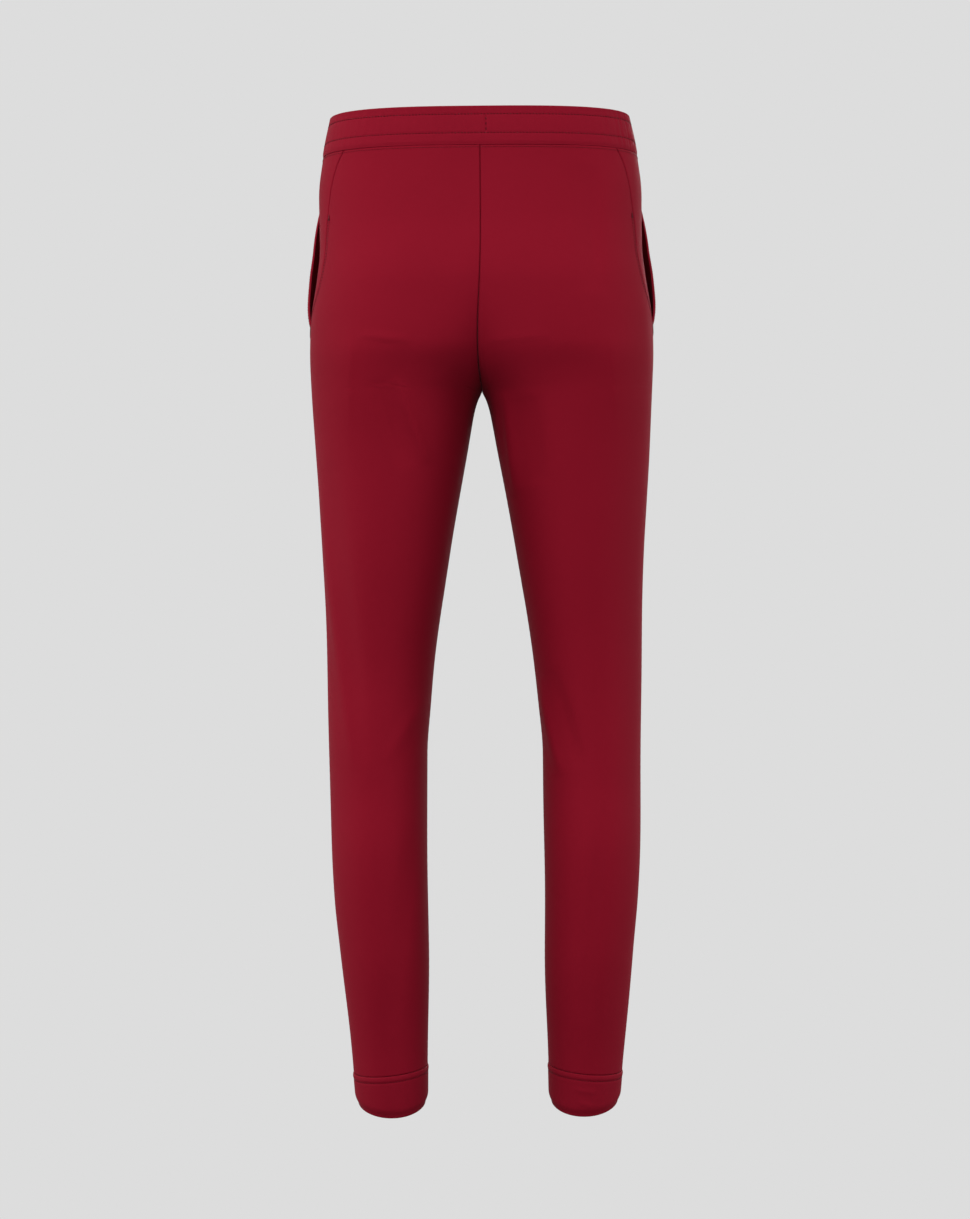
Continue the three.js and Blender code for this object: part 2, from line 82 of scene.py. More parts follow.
OUTER = profile(
    [
        (0, HIP - 22.5), (0.145, HIP - 14.5), (0.29, HIP - 10), (0.475, HIP - 9.5),
        (0.59, HIP - 6), (0.73, HIP - 1), (0.86, HIP),
    ],
    [
        (0, HIP - 1.2), (0.08, HIP - 4), (0.15, HIP - 7.5), (0.22, HIP - 10.5),
        (0.36, HIP - 14), (0.5, HIP - 15.5), (0.63, HIP - 17.5), (0.7, HIP - 20),
        (0.77, HIP - 25), (0.91, HIP - 35.5), (1, HIP - 41),
    ],
)
INNER = profile(
    [],
    [
        (0, 1.1), (0.011, 4.5), (0.024, 7.5), (0.052, 11.5), (0.08, 15), (0.15, 24), (0.22, 33),
        (0.36, 49), (0.43, 54), (0.5, 58), (0.63, 58.5), (0.77, 58), (0.91, 60), (1, 61.5),
    ],
)
BACK = profile(
    [(0, 100), (0.15, 104), (0.36, 113), (0.62, 127), (0.83, 126)],
    [
        (0, 113), (0.08, 99), (0.22, 84), (0.42, 67), (0.54, 69), (0.64, 75), (0.77, 70),
        (0.92, 52), (1, 44),
    ],
)
FRONT = profile(
    [(0, 98), (0.15, 101), (0.36, 103), (0.62, 103)],
    [
        (0, 98), (0.08, 95), (0.22, 87), (0.42, 76), (0.54, 68), (0.64, 60), (0.77, 51),
        (0.92, 42), (1, 38),
    ],
)
BOXINESS = profile(
    [(0, 2.9), (0.5, 2.6)],
    [(0, 2.25), (0.3, 2.05), (1, 2.05)],
)


def along(rows, depth):
    """The value of a profile at each depth: a cubic between rows whose slope at a row is the
    harmonic mean of the chords on either side, or flat where they turn."""
    x, y = np.array(rows, float).T
    chord = np.diff(y) / np.diff(x)
    product = chord[:-1] * chord[1:]
    total = np.where(product > 0, chord[:-1] + chord[1:], 1)
    between = np.where(product > 0, 2 * product / total, 0)
    slope = np.concatenate([chord[:1], between, chord[-1:]])
    depth = np.asarray(depth, float)
    i = np.clip(np.searchsorted(x, depth, side="right") - 1, 0, len(x) - 2)
    span = x[i + 1] - x[i]
    t = np.clip((depth - x[i]) / span, 0, 1)
    ends = y[i] * (1 + 2 * t) * (1 - t) ** 2 + y[i + 1] * t * t * (3 - 2 * t)
    return ends + span * (slope[i] * t * (1 - t) ** 2 - slope[i + 1] * t * t * (1 - t))


def ease(t):
    """0 to 1 with level ends: three t squared less two t cubed."""
    t = np.clip(t, 0, 1)
    return t * t * (3 - 2 * t)


def form_table():
    """The form worked out every quarter millimetre down: its outer and inner lines, back, front
    and boxiness. Above the crotch the inner line comes in from the far side as a power of the
    depth, and near the crotch it is evened out with a bell, so that the legs part smoothly."""
    depth = np.arange(-20, LENGTH + 20, 0.25)
    outer = along(OUTER, depth)
    parting = np.clip((depth - BAND_HEIGHT) / (RISE - BAND_HEIGHT), 0, 1) ** 1.2
    seat = -outer + (INNER[0][1] + outer) * parting
    inner = np.where(depth < RISE, seat, along(INNER, depth))
    bell = np.exp(-((np.arange(-80, 81) / 28.0) ** 2))
    even = np.convolve(np.pad(inner, 80, mode="edge"), bell / bell.sum(), mode="valid")
    inner += (even - inner) * np.exp(-(((depth - RISE) / 26) ** 4))
    back, front = along(BACK, depth), along(FRONT, depth)
    power = along(BOXINESS, depth)
    return depth, (outer + inner) / 2, (outer - inner) / 2, (front - back) / 2, (front + back) / 2, power


FORM = form_table()


def section(depth):
    """Centre, half width, middle, half depth and boxiness of the oval at each depth."""
    return tuple(np.interp(depth, FORM[0], column) for column in FORM[1:])


def signed_power(value, power):
    return np.sign(value) * np.abs(value) ** power


def angle_of(turn, depth):
    """The even angle of a pattern turn in degrees: each part of the turn's sine and cosine is
    raised to 2 over the boxiness before the angle is taken again."""
    power = 2 / section(depth)[4]
    turn = np.radians(turn)
    sine, cosine = signed_power(np.sin(turn), power), signed_power(np.cos(turn), power)
    return np.arctan2(sine, cosine) % (2 * np.pi)


def turn_of(angle, depth):
    """The pattern turn in degrees of an even angle, the other way round from angle_of."""
    power = section(depth)[4] / 2
    sine, cosine = signed_power(np.sin(angle), power), signed_power(np.cos(angle), power)
    return np.degrees(np.arctan2(sine, cosine)) % 360


def outside(x, y, depth):
    """How far a point lies outside the oval: the two scaled powers added, less 1."""
    centre, width, middle, half, power = section(depth)
    return np.abs((x - centre) / width) ** power + np.abs((y - middle) / half) ** power - 1


def form(angle, depth):
    """Points of the right half of the form and its outward normals. The radius of the oval at an
    angle is the sum of the powers of cosine and sine, to the power of minus 1 over the boxiness."""
    angle, depth = np.broadcast_arrays(np.asarray(angle, float), np.asarray(depth, float))
    centre, width, middle, half, power = section(depth)
    cosine, sine = np.cos(angle), np.sin(angle)
    radius = (np.abs(cosine) ** power + np.abs(sine) ** power) ** (-1 / power)
    x, y = centre - width * cosine * radius, middle - half * sine * radius
    step = 0.05
    normal = np.stack([
        outside(x + step, y, depth) - outside(x - step, y, depth),
        outside(x, y + step, depth) - outside(x, y - step, depth),
        outside(x, y, depth - step) - outside(x, y, depth + step),
    ], -1)
    normal /= np.linalg.norm(normal, axis=-1, keepdims=True)
    return np.stack([x, y, -depth], -1), normal


def grid_normals(points, closed=False):
    """Unit normals of a grid, which may be closed both ways: the cross product of its steps along
    a column and along a row."""
    if closed:
        points = np.pad(points, ((1, 1), (1, 1), (0, 0)), mode="wrap")
    normal = np.cross(np.gradient(points, axis=0), np.gradient(points, axis=1))
    if closed:
        normal = normal[1:-1, 1:-1]
    return normal / np.maximum(np.linalg.norm(normal, axis=-1, keepdims=True), 1e-9)


def quads(index):
    """The four corners of every cell of a grid of vertex numbers."""
    return np.stack([index[:-1, :-1], index[1:, :-1], index[1:, 1:], index[:-1, 1:]], -1).reshape(-1, 4)


def tube_cells(rows, around):
    """The cells of a tube: rows of points around it, with a fan of cells closing each end."""
    index = np.arange(rows * around).reshape(rows, around)
    lids = np.array([(0, k, k + 1, k + 2) for k in range(1, around - 1, 2)])
    sides = quads(np.concatenate([index, index[:, :1]], axis=1))
    return np.concatenate([sides, index[0][lids], index[-1][lids[:, ::-1]]])


def new_object(name, data):
    piece = bpy.data.objects.new(name, data)
    bpy.context.scene.collection.objects.link(piece)
    return piece


def sew(name, points, faces, normals=None, uv=None, tint=None, finish=None):
    """Makes a closed mesh from points in millimetres. Faces that wind inwards, told by the sign of
    the enclosed volume, are turned round. uv and the painted shade of holes, kept as the Shade
    attribute, are given for each vertex."""
    points = points.reshape(-1, 3)
    a, b, c, d = (points[faces[:, i]] for i in (0, 1, 2, 3))
    if (a * np.cross(b, c)).sum() + (a * np.cross(c, d)).sum() < 0:
        faces = faces[:, ::-1]
    mesh = bpy.data.meshes.new(name)
    mesh.vertices.add(len(points))
    mesh.vertices.foreach_set("co", (points / 1000).ravel())
    mesh.loops.add(faces.size)
    mesh.loops.foreach_set("vertex_index", faces.ravel())
    mesh.polygons.add(len(faces))
    mesh.polygons.foreach_set("loop_start", np.arange(0, faces.size, 4))
    mesh.polygons.foreach_set("use_smooth", np.ones(len(faces), bool))
    if uv is not None:
        layer = mesh.uv_layers.new(name="Grain")
        layer.data.foreach_set("uv", uv.reshape(-1, 2)[faces.ravel()].ravel())
    if tint is not None:
        mesh.attributes.new("Shade", "FLOAT", "POINT").data.foreach_set("value", tint.ravel())
    mesh.update()
    mesh.validate()
    if normals is not None:
        normals = normals.reshape(-1, 3)
        corners = points[faces]
        facing = np.cross(corners[:, 2] - corners[:, 0], corners[:, 3] - corners[:, 1])
        if (facing * normals[faces[:, 0]]).sum() < 0:
            normals = -normals
        mesh.normals_split_custom_set_from_vertices(normals)
    if finish is not None:
        mesh.materials.append(finish)
    return new_object(name, mesh)


def sew_ring(name, points, **more):
    """A mesh closed both ways: a closed profile (rows) carried once round (columns)."""
    rows, columns = points.shape[:2]
    index = np.pad(np.arange(rows * columns).reshape(rows, columns), (0, 1), mode="wrap")
    return sew(name, points, quads(index), normals=grid_normals(points, closed=True), **more)


class Dye:
    """One value in a finish's node tree. Arithmetic on it adds the Math nodes that work it out,
    and make() adds any other node."""

    def __init__(self, tree, socket=None):
        self.tree = tree
        self.socket = socket

    def make(self, kind, inputs, out=0, **settings):
        node = self.tree.nodes.new(kind)
        for key, value in settings.items():
            setattr(node, key, value)
        for key, value in inputs.items():
            if isinstance(value, Dye):
                self.tree.links.new(value.socket, node.inputs[key])
            else:
                node.inputs[key].default_value = value
        return Dye(self.tree, node.outputs[out])

    def maths(self, operation, first, second=0.0):
        return self.make("ShaderNodeMath", {0: first, 1: second}, operation=operation)

    def __add__(self, other):
        return self.maths("ADD", self, other)

    def __mul__(self, other):
        return self.maths("MULTIPLY", self, other)

    def part(self, axis):
        """One of the three parts of a place: x, y or z."""
        return self.make("ShaderNodeSeparateXYZ", {0: self}, out=axis)

    def feed(self, shader, inlet):
        self.tree.links.new(self.socket, shader.inputs[inlet])

    def sine(self):
        return self.maths("SINE", self)

    def size(self):
        return self.maths("ABSOLUTE", self)

    def blend(self, low, high):
        """Colours low and high mixed by this value."""
        return self.make("ShaderNodeMix", {0: self, 6: low, 7: high}, out=2, data_type="RGBA")


def new_finish(name, roughness, sheen, sheen_tint):
    """A material with its constants set, and its tree and shader."""
    material = bpy.data.materials.new(name)
    material.use_nodes = True
    tree = material.node_tree
    shader = tree.nodes["Principled BSDF"]
    shader.inputs["Roughness"].default_value = roughness
    shader.inputs["Specular IOR Level"].default_value = 0.07
    shader.inputs["Sheen Weight"].default_value = sheen
    shader.inputs["Sheen Roughness"].default_value = 0.25
    shader.inputs["Sheen Tint"].default_value = sheen_tint
    return material, tree, shader


def knit(name, pale, deep, wale=0.9):
    """Fine jersey: columns of small v-shaped loops, a wale wide, worked out on the cloth's own
    grain in millimetres, with slow and fine changes of dye. The Shade attribute darkens the
    cloth in a hole with painted shade."""
    course = 0.7
    relief = 0.0001
    material, tree, shader = new_finish(name, 0.82, 0.05, (1.0, 0.62, 0.66, 1))
    start = Dye(tree)
    grain = start.make("ShaderNodeUVMap", {}, uv_map="Grain")
    u = grain.part(0)
    v = grain.part(1)
    column = (u * (math.pi / wale)).sine().size()
    loops = (v * (2 * math.pi / course) + column * 2.4).sine()
    height = column * (loops * 0.3 + 0.7)
    place = start.make("ShaderNodeTexCoord", {}, out=3)
    slow = place.make("ShaderNodeTexNoise", {"Vector": place, "Scale": 9.0, "Detail": 3.0})
    fine = place.make("ShaderNodeTexNoise", {"Vector": place, "Scale": 900.0, "Detail": 2.0})
    # Painted shade: in a hole the dye is mixed towards a quarter of the deep red.
    painted_hole_shade = start.make("ShaderNodeAttribute", {}, out=2, attribute_name="Shade")
    dye = (slow * 0.55 + fine * 0.35 + height * 0.18).blend(deep, pale)
    hole_shadow_colour = tuple(0.25 * value for value in deep[:3]) + (1,)
    painted_hole_shade.blend(dye, hole_shadow_colour).feed(shader, "Base Color")
    (fine * 0.12 + 0.74).feed(shader, "Roughness")
    raised = {"Height": height + fine * 0.5, "Strength": 0.5, "Distance": relief}
    height.make("ShaderNodeBump", raised).feed(shader, "Normal")
    return material


jersey = knit("jersey", pale=(0.232, 0.0042, 0.0165, 1), deep=(0.188, 0.0026, 0.0120, 1))
band_jersey = knit("band_jersey", pale=(0.236, 0.0048, 0.0178, 1), deep=(0.194, 0.0030, 0.0130, 1))


def dress(piece, slot_name, body, *nodes):
    """Hangs a piece on the body it rides on and hides the solids it stands for.
    slot_name, the finish slot, is not used.
    """
    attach(piece, body)
    if nodes:
        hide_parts(*nodes)
    return piece


def band_form(angle, height):
    """The form at a height below the tilted rim, right round the waist."""
    rim = form(angle, np.zeros_like(angle))[0]
    depth = np.clip(BAND_TILT * rim[..., 1] + height, 0, None)
    points, normals = form(angle, depth)
    points[..., 2] = -(BAND_TILT * rim[..., 1] + height)
    return points, normals


def band_lift(angle, height):
    """How far the band's face stands out: a soft roll between rows of stitching, a groove at each
    row and at the upright tuck, and gathers that fan out from the rows. The gathers are sums of
    sines round the waist, deepest over one hip."""
    run = angle * 118
    groove = sum(np.exp(-((height - row) / 1.1) ** 2) for row in BAND_ROWS)
    near = sum(np.exp(-((height - row) / 7.0) ** 2) for row in BAND_ROWS)
    gathers = np.sin(run / 1.05) + 0.7 * np.sin(run / 1.63 + 1.1) + 0.5 * np.sin(run / 3.7 + 0.4)
    slack = 0.055 + 0.22 * np.exp(-((angle - 2.62) / 0.20) ** 2) + 0.05 * np.sin(angle * 5 + 1) ** 2
    between = np.clip((height - BAND_ROWS[0]) / (BAND_ROWS[1] - BAND_ROWS[0]), 0, 1)
    roll = 0.16 * np.sin(np.pi * between)
    tuck = 0.9 * np.exp(-((BAND_HEIGHT - height) / 2.4) ** 2)
    upright = np.exp(-(((angle - TUCK_ANGLE) * 150 / 1.1) ** 2))
    upright = upright * ease((height - 9) / 2) * ease((27 - height) / 2)
    ruffle = slack * gathers * (0.25 + near) * (1 - 0.8 * groove)
    return roll - 0.45 * groove - 0.8 * upright + ruffle - tuck


band_columns = 760
seam_heights = np.linspace(BAND_HEIGHT, BAND_HEIGHT - 3, 5)
outer_heights = np.concatenate([seam_heights, np.linspace(34.6, 1.0, 40)])
fold = np.radians(np.linspace(10, 170, 9))
fold_middle = (BAND_OUT + BAND_IN) / 2
fold_half = (BAND_OUT - BAND_IN) / 2
inner_heights = np.linspace(1.0, BAND_HEIGHT, 24)
lining_heights = np.linspace(BAND_HEIGHT, 2.6, 12)
band_profile = np.concatenate([
    np.stack([np.full(45, BAND_OUT), outer_heights, np.ones(45)], -1),
    np.stack([fold_middle + fold_half * np.cos(fold), 1.0 - 1.0 * np.sin(fold), np.zeros(9)], -1),
    np.stack([np.full(24, BAND_IN), inner_heights, -np.ones(24)], -1),
    np.stack([np.full(12, BAND_IN + BAND_PLY), lining_heights, np.zeros(12)], -1),
    np.stack([np.full(12, BAND_OUT - BAND_PLY - 0.25), lining_heights[::-1], np.zeros(12)], -1),
])
waist_angles = np.pi / 2 + 2 * np.pi * np.arange(band_columns) / band_columns
band_offs, band_heights, band_faces = (column[:, None] for column in band_profile.T)
band_points, band_normals = band_form(*np.broadcast_arrays(waist_angles[None, :], band_heights))
band_lifts = band_lift(waist_angles[None, :], band_heights)
band_lifts = np.where(band_faces > 0, band_lifts, np.where(band_faces < 0, -0.5 * band_lifts, 0))
band_points = band_points + band_normals * (band_offs + band_lifts)[..., None]

# The two drawcord eyelets sink into the inner ply at the front, between the rows of stitching.
eyelet_boxes = {side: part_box(f"{side}_eyelet") for side in ("left", "right")}
eyelet_middles = {side: np.array((low + high) / 2) * 1000 for side, (low, high) in eyelet_boxes.items()}
# Each eyelet hole is sunk 0.9 mm and also darkened in its colour as painted shade.
band_painted_shade = np.zeros(band_points.shape[:2])
for middle in eyelet_middles.values():
    flat = np.hypot(band_points[..., 0] - middle[0], band_points[..., 2] - middle[2])
    hole = np.where((band_faces < 0) & (band_points[..., 1] > 0), 1 - ease((flat - 1.5) / 1.2), 0)
    band_points = band_points + band_normals * (0.9 * hole)[..., None]
    band_painted_shade = np.maximum(band_painted_shade, hole)
band_fall = band_heights + 60 * (band_faces < 0)
band_uv = np.stack(np.broadcast_arrays(waist_angles[None, :] * 128, band_fall), -1)
waistband = sew_ring("waistband", band_points, uv=band_uv, tint=band_painted_shade, finish=band_jersey)
dress(waistband, "waistband", "seat", "waistband_casing")


def ribbed_elastic():
    """Woven elastic: crosswise ribs and lengthwise rubber lines on the strap's own height and run."""
    material, tree, shader = new_finish("ribbed_elastic", 0.8, 0.05, (1, 1, 1, 1))
    place = Dye(tree).make("ShaderNodeTexCoord", {}, out=3)
    height = place.part(2)
    across = place.part(0)
    lines = (height * (2 * math.pi / 0.0022)).sine() * 0.5 + 0.5
    ribs = (across * (2 * math.pi / 0.0011)).sine() * 0.5 + 0.5
    dye = (lines * 0.6 + ribs * 0.3).blend((0.50, 0.47, 0.42, 1), (0.78, 0.75, 0.70, 1))
    dye.feed(shader, "Base Color")
    raised = {"Height": lines + ribs * 0.6, "Strength": 0.6, "Distance": 0.0002}
    lines.make("ShaderNodeBump", raised).feed(shader, "Normal")
    return material


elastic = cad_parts["waistband_elastic"]
elastic.data.materials.clear()
elastic.data.materials.append(ribbed_elastic())


def spun_thread():
    """Polyester sewing thread: a twist of fine diagonal plies and a little sheen. Its red is set
    several times darker than the cloth it matches: painted shade of the grooves it lies in.
    """
    material, tree, shader = new_finish("spun_thread", 0.55, 0.2, (1.0, 0.6, 0.65, 1))
    place = Dye(tree).make("ShaderNodeTexCoord", {}, out=3)
    x = place.part(0)
    z = place.part(2)
    twist = ((x + z) * (2 * math.pi / 0.00045)).sine() * 0.5 + 0.5
    # Painted shade: both reds are far darker than the cloth's, so the stitches look sunk in shadow.
    dye = twist.blend((0.040, 0.0007, 0.0030, 1), (0.080, 0.0016, 0.0060, 1))
    dye.feed(shader, "Base Color")
    raised = {"Height": twist, "Strength": 0.5, "Distance": 0.0001}
    twist.make("ShaderNodeBump", raised).feed(shader, "Normal")
    return material


thread = spun_thread()


def stitch_row(points, normals, pitch=3.0, share=0.74, radius=0.26, sink=0.05):
    """Corners and faces of a row of stitches along a line. Each is a bean: a circle swept along
    the line whose radius falls off as the root of 1 less the fourth power, and whose ends sink
    into the cloth with the square of the distance from its middle."""
    steps = np.linalg.norm(np.diff(points, axis=0), axis=1)
    run = np.concatenate([[0], np.cumsum(steps)])
    count = max(2, int(run[-1] / pitch))
    along_bean = np.linspace(-1, 1, 8)
    centres = (np.arange(count) + 0.5) * run[-1] / count
    where = centres[:, None] + along_bean * pitch * share / 2
    line = np.stack([np.interp(where, run, points[:, k]) for k in range(3)], -1)
    out = np.stack([np.interp(where, run, normals[:, k]) for k in range(3)], -1)
    out /= np.linalg.norm(out, axis=-1, keepdims=True)
    ahead = np.gradient(line, axis=1)
    ahead /= np.maximum(np.linalg.norm(ahead, axis=-1, keepdims=True), 1e-9)
    wide = np.cross(ahead, out)
    thick = radius * np.sqrt(np.maximum(1 - along_bean**4, 0.02))
    lift = radius * (0.75 - 1.1 * along_bean**2) - sink
    around = np.arange(6) * np.pi / 3
    ring = np.cos(around)[:, None] * wide[:, :, None] + np.sin(around)[:, None] * out[:, :, None]
    beans = line[:, :, None] + out[:, :, None] * lift[:, None, None] + ring * thick[:, None, None]
    cells = tube_cells(8, 6) + 8 * 6 * np.arange(count)[:, None, None]
    return beans.reshape(-1, 3), cells.reshape(-1, 4)


def sew_stitches(name, rows, body, *nodes):
    """One object for several rows of stitches, each a pair of line points and normals."""
    points, faces, used = [], [], 0
    for row in rows:
        line, cells = stitch_row(*row)
        points.append(line)
        faces.append(cells + used)
        used += len(line)
    piece = sew(name, np.concatenate(points), np.concatenate(faces), finish=thread)
    return dress(piece, "thread", body, *nodes)


def band_line(angle, height, off):
    """Points and normals along a line on the band's face, off the bottom of its stitch groove."""
    points, normals = band_form(angle, height)
    lift = BAND_OUT + band_lift(angle, height) + off
    return points + normals * lift[:, None], normals


# Two rows run right round, and a short upright one closes the casing at the centre back.
full_round = np.pi / 2 + np.linspace(0, 2 * np.pi, 900)
tuck_line = band_line(np.full(30, TUCK_ANGLE), np.linspace(10.5, 25.5, 30), -0.1)
band_rows = [(*band_line(full_round, np.full(900, row), 0.1), 3.2, 0.64, 0.40) for row in BAND_ROWS]
sew_stitches("waistband_stitching", [*band_rows, (*tuck_line, 4.2, 0.8, 0.5)], "seat")


def eyelet_ring(middle):
    """A worked eyelet: a ring of thread whose thickness ripples 26 times round, once for each
    buttonhole stitch, lying on the inner ply."""
    angle, depth = np.pi * 1.5, -middle[2]
    out = form(np.array(angle), np.array(depth))[1]
    out = np.array([middle[0] / BAND_CURVE, out[1], out[2]])
    out /= np.linalg.norm(out)
    wide = np.cross(out, [0, 0, 1.0])
    wide /= np.linalg.norm(wide)
    up = np.cross(wide, out)
    turns = np.arange(156) * 2 * np.pi / 156, np.arange(10) * 2 * np.pi / 10
    round_hole, round_thread = np.meshgrid(*turns)
    thick = 0.55 + 0.12 * np.cos(26 * round_hole)
    reach = 3.1 + 1.9 * thick * np.cos(round_thread)
    rise = thick * np.sin(round_thread)
    spoke = np.cos(round_hole)[..., None] * wide + np.sin(round_hole)[..., None] * up
    return middle + reach[..., None] * spoke + rise[..., None] * out


for side, middle in eyelet_middles.items():
    eyelet = sew_ring(f"{side}_worked_eyelet", eyelet_ring(middle), finish=thread)
    dress(eyelet, "thread", "seat", f"{side}_eyelet")

# ---- leg panels -----------------------------------------------------------------------------
# Each leg is a back and a front panel of jersey, joined by a side seam and an inseam, and to the
# other leg along the centre seam. A panel is one cloth from waistband to cuff. It is held in two
# lengths that meet above the knee.

PANEL_OUT = 0.35
PANEL_IN = -0.55
SEAM_HALF_GAP = 0.04
TOP_FADE = 60.0
BOTTOM_FADE = 80.0
MEETING = 470.0
CUFF_SEAM = 946.0
MOUTH_TOP = 50.0
MOUTH_BOTTOM = 207.0
MOUTH_GAPE = 8.3
MOUTH_FRONT = 207.0
SIDE_SEAM = profile(
    [
        (0.11, 142.7), (0.18, 148.7), (0.24, 151.2), (0.32, 153.7), (0.42, 156.8),
        (0.54, 158.5), (0.62, 161), (0.69, 167), (0.76, 175), (0.88, 181),
    ],
    [(1, 181)],
)
# Soft folds in the cloth: the two ends (x, z), the widths to the left and right of the way from
# the first to the second as seen from behind, the height, and whether it lies on the back (-1) or
# the front (1). Millimetres; x grows towards the wearer's right.
FOLDS = np.array([
    (-122, -220, -66, -226, 5, 2.5, 1.3, -1), (-128, -252, -8, -258, 27, 60, -5.0, -1),
    (8, -226, 70, -222, 5, 3, 0.8, -1), (8, -258, 128, -252, 27, 56, -4.4, -1),
    (0, -252, 0, -345, 30, 30, -1.5, -1),
    (-84, -262, -54, -345, 6, 6, 2.4, -1), (-104, -262, -76, -350, 12, 7, -2.0, -1),
    (22, -276, 34, -376, 6, 5, 3.0, -1), (46, -280, 54, -366, 10, 14, -2.6, -1),
    (-166, -340, -130, -650, 5, 6, 2.4, -1), (-152, -340, -118, -640, 9, 9, -1.8, -1),
    (52, -556, 76, -654, 5, 6, 2.8, -1), (66, -550, 94, -645, 8, 8, -2.2, -1),
    (106, -52, 112, -180, 10, 16, -2.4, -1), (-60, -575, -100, -640, 7, 7, 1.2, -1),
    (-70, -700, -96, -905, 8, 12, -1.4, -1), (120, -690, 96, -900, 8, 12, -1.4, -1),
    (-14, -250, -60, -420, 7, 7, 1.2, 1), (14, -250, 64, -410, 7, 7, 1.2, 1),
    (-20, -272, -110, -340, 8, 8, -1.2, 1), (22, -268, 118, -350, 8, 8, -1.2, 1),
    (-130, -520, -70, -585, 8, 8, 1.3, 1), (128, -530, 72, -590, 8, 8, 1.3, 1),
    (84, -966, 108, -969, 2.6, 2.6, 0.6, -1), (88, -978, 104, -983, 2.4, 2.4, 0.5, -1),
])


def drape(points, normals):
    """How far the cloth stands off its form. Each fold falls off as a bell away from the line
    between its ends, wider on one side where it has two widths, and fades at both ends. Slow sines
    over the surface keep the rest from lying dead even."""
    x, y, z = np.moveaxis(points, -1, 0)
    facing = normals[..., 1]
    lift = 0.45 * np.sin(x / 41 + z / 67 + 1.3) * np.sin(z / 49 - x / 83)
    lift += 0.25 * np.sin(x / 17 - z / 71 + y / 23) * np.sin(z / 37 + 0.8)
    for x0, z0, x1, z1, left, right, height, way in FOLDS:
        run = np.array([x1 - x0, z1 - z0])
        share = np.clip(((x - x0) * run[0] + (z - z0) * run[1]) / (run @ run), 0, 1)
        away = np.hypot(x - x0 - share * run[0], z - z0 - share * run[1])
        fade = (4 * share * (1 - share)) ** 0.7
        width = np.where(run[0] * (z - z0) > run[1] * (x - x0), left, right)
        lift += height * np.exp(-((away / width) ** 2)) * fade * ease(way * facing * 2.5)
    return lift


def side_seam(depth):
    return angle_of(along(SIDE_SEAM, depth), depth)


def mouth_turn(depth):
    """The pocket mouth's turn: from the front of the hip back to the side seam, as 1 less a power
    of the share of the way still to go, so that it turns back soonest at the top."""
    end = along(SIDE_SEAM, MOUTH_BOTTOM) + 2.4
    left = 1 - np.clip((depth - BAND_HEIGHT) / (MOUTH_BOTTOM - BAND_HEIGHT), 0, 1)
    return MOUTH_FRONT + (end - MOUTH_FRONT) * (1 - left**1.25)


def mouth_lift(turn, depth):
    """How far the front panel's edge stands off at the mouth: half a sine down the mouth, fullest
    about its middle, dying away over 30 degrees towards the front."""
    open_share = np.clip((depth - MOUTH_TOP) / (MOUTH_BOTTOM - MOUTH_TOP), 0, 1)
    away = ease((turn - mouth_turn(depth)) / 30)
    return MOUTH_GAPE * np.sin(np.pi * open_share**1.05) ** 0.7 * (1 - away)


def front_side_edge(depth):
    """The front panel's outer edge: the mouth, and from its bottom end the side seam."""
    below = ease((depth - MOUTH_BOTTOM + 6) / 7)
    turn = mouth_turn(depth) * (1 - below) + along(SIDE_SEAM, depth) * below
    return angle_of(turn, depth)


def centre_edge(depth):
    """Where the cloth meets the centre plane, and below the crotch the inseam."""
    centre, width, _, _, power = section(depth)
    reach = np.clip((centre - 0.05) / width, -1, 1)
    turn = np.degrees(np.arccos(signed_power(reach, power / 2)))
    return np.maximum(np.where(reach < 1, angle_of(turn, depth), 0), 0.0006)


def spread(count, edge):
    """Shares from 0 to 1 across a panel: a few close steps at each edge, even steps between."""
    close = edge * np.array([0, 0.06, 0.14, 0.26, 0.42, 0.66, 1.0])
    even = np.linspace(close[-1], 1 - close[-1], count)
    return np.concatenate([close[:-1], even, 1 - close[:-1][::-1]])


def waist_seam(angle):
    """Depth of the seam under the waistband, which tilts with it."""
    return BAND_HEIGHT + 0.1 + BAND_TILT * form(angle, np.full_like(angle, BAND_HEIGHT))[0][..., 1]


def cuff_seam(angle):
    """Depth of the seam above the cuff: higher towards the front and the other leg."""
    centre, _, middle, _, _ = section(CUFF_SEAM)
    points = form(angle, np.full_like(angle, CUFF_SEAM))[0]
    return CUFF_SEAM - 0.11 * (points[..., 1] - middle) + 0.1 * (points[..., 0] - centre)


def edge_runs(points):
    """Distances along each row from its two ends."""
    steps = np.linalg.norm(np.diff(points, axis=1), axis=-1)
    run = np.concatenate([np.zeros((len(points), 1)), np.cumsum(steps, axis=1)], axis=1)
    return run, run[:, -1:] - run


def rolled(distance, reach=1.7, sink=1.9):
    """How far a sewn edge rolls in: sink at the edge, nothing past reach, round between."""
    t = np.clip(distance / reach, 0, 1)
    return sink * (1 - np.sqrt(np.maximum(1 - (1 - t) ** 2, 0)))


def bent_normals(points, normals, lift):
    """Normals of a surface lifted off another: the first normals less the slope of the lift, which
    is solved from its steps along the rows and columns of the grid."""
    a, b = np.gradient(points, axis=1), np.gradient(points, axis=0)
    da, db = np.gradient(lift, axis=1), np.gradient(lift, axis=0)
    aa, ab, bb = (a * a).sum(-1), (a * b).sum(-1), (b * b).sum(-1)
    size = np.maximum(aa * bb - ab * ab, 1e-9)
    bent = normals - ((da * bb - db * ab) / size)[..., None] * a
    bent = bent - ((db * aa - da * ab) / size)[..., None] * b
    return bent / np.linalg.norm(bent, axis=-1, keepdims=True)


def seam_bow(x, normals, depth):
    """How far the centre seam wanders to the wearer's left behind: a bell round the seat that dies
    away to either side."""
    bell = np.exp(-(((depth - 222) / 62) ** 2)) * np.exp(-((x / 70) ** 2))
    return -4.0 * bell * ease(-normals[..., 1] * 2)


